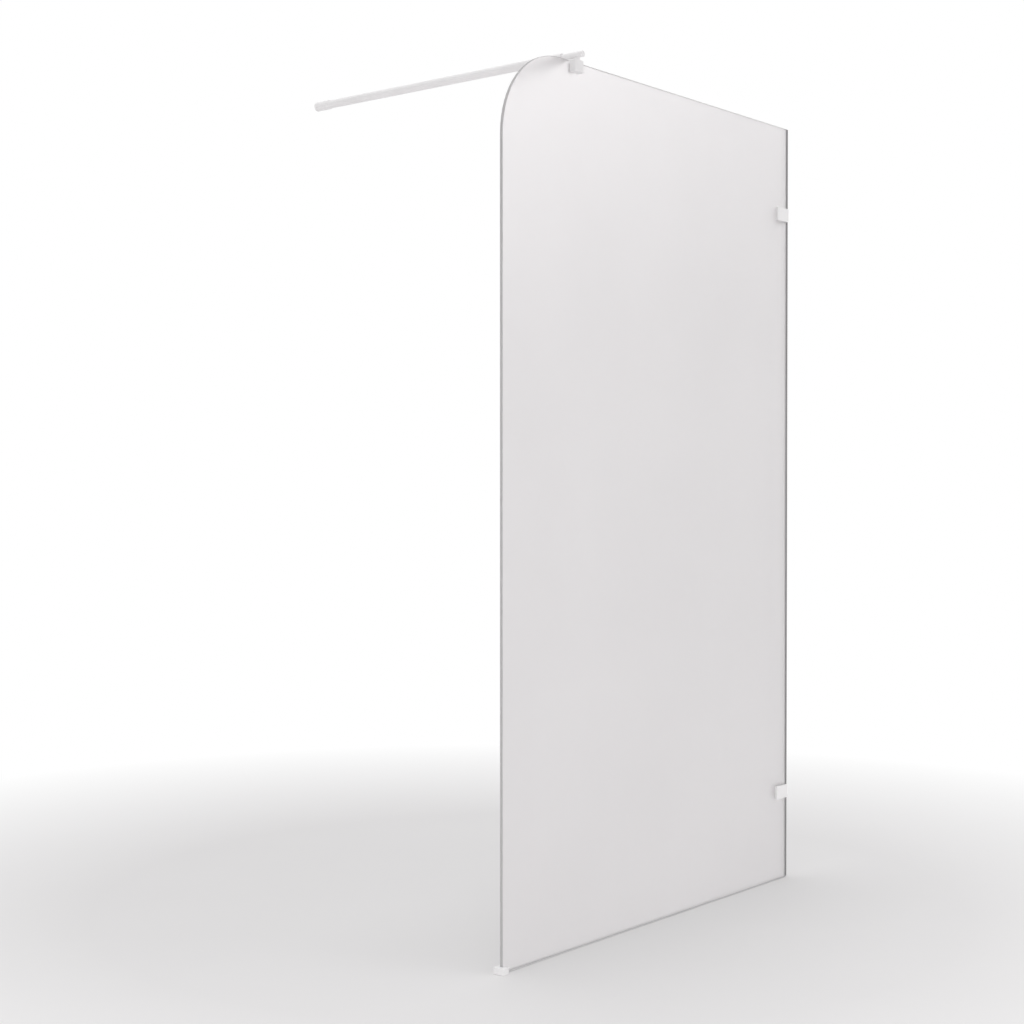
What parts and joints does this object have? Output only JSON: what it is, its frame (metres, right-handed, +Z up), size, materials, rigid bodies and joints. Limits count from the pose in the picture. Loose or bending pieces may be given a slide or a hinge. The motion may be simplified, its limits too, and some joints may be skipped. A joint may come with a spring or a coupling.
{
  "type": "walk-in shower screen",
  "caption": "Fixed frameless walk-in shower screen: flat satin glass panel with a large rounded top corner, white wall and floor clamps and a round stabiliser bar on a swivel clamp.",
  "frame": {"origin": "centre of the floor clamp's base, on the floor", "axes": "+Z up; +X along the glass from its free edge to the wall it is clamped to; -Y the outer side of the glass, +Y the shower side, towards the bar's wall"},
  "size_m": [1.209, 0.845, 2.0247],
  "materials": {
    "satin_glass": "satin-etched toughened glass with ground edges",
    "white_coat": "matt white powder coat",
    "white_plastic": "matt white moulded plastic",
    "grey_seal": "soft grey seal",
    "pale_seal": "soft pale grey seal",
    "gasket_rubber": "translucent pale gasket rubber",
    "nylon": "natural nylon",
    "stainless": "stainless steel"
  },
  "bodies": {
    "screen": {"glass_panel": "satin_glass", "wall_seal": "grey_seal", "bottom_seal": "pale_seal", "upper_clamp_bracket": "white_coat", "upper_clamp_plate": "white_coat", "upper_clamp_outer_gasket": "gasket_rubber", "upper_clamp_inner_gasket": "gasket_rubber", "upper_clamp_sleeve": "nylon", "upper_clamp_screw": "stainless", "lower_clamp_bracket": "white_coat", "lower_clamp_plate": "white_coat", "lower_clamp_outer_gasket": "gasket_rubber", "lower_clamp_inner_gasket": "gasket_rubber", "lower_clamp_sleeve": "nylon", "lower_clamp_screw": "stainless", "floor_clamp_block": "white_coat", "floor_clamp_liner": "gasket_rubber", "floor_clamp_grub_screw": "stainless", "floor_clamp_cap": "white_plastic", "bar_clamp_block": "white_coat", "bar_clamp_inner_plate": "white_coat", "bar_clamp_outer_gasket": "gasket_rubber", "bar_clamp_inner_gasket": "gasket_rubber", "bar_clamp_sleeve": "nylon", "bar_clamp_screw": "stainless"},
    "bar": {"swivel_neck": "white_coat", "swivel_screw": "stainless", "bar_end_rod": "white_coat", "bar_tube": "white_coat", "wall_boss": "white_coat", "bar_lock_screw": "stainless", "cover_ring": "gasket_rubber"},
    "cover": {"wall_cover_sleeve": "white_coat"}
  },
  "joints": [
    {"name": "bar_swivel", "type": "hinge", "parent": "screen", "child": "bar", "pos_m": [0.2505, -0.0135, 2.0075], "axis": [0, 0, 1], "range_deg": [-45, 45]},
    {"name": "cover_slide", "type": "slide", "parent": "bar", "child": "cover", "axis": [0, -1, 0], "range_m": [0, 0.74]}
  ]
}
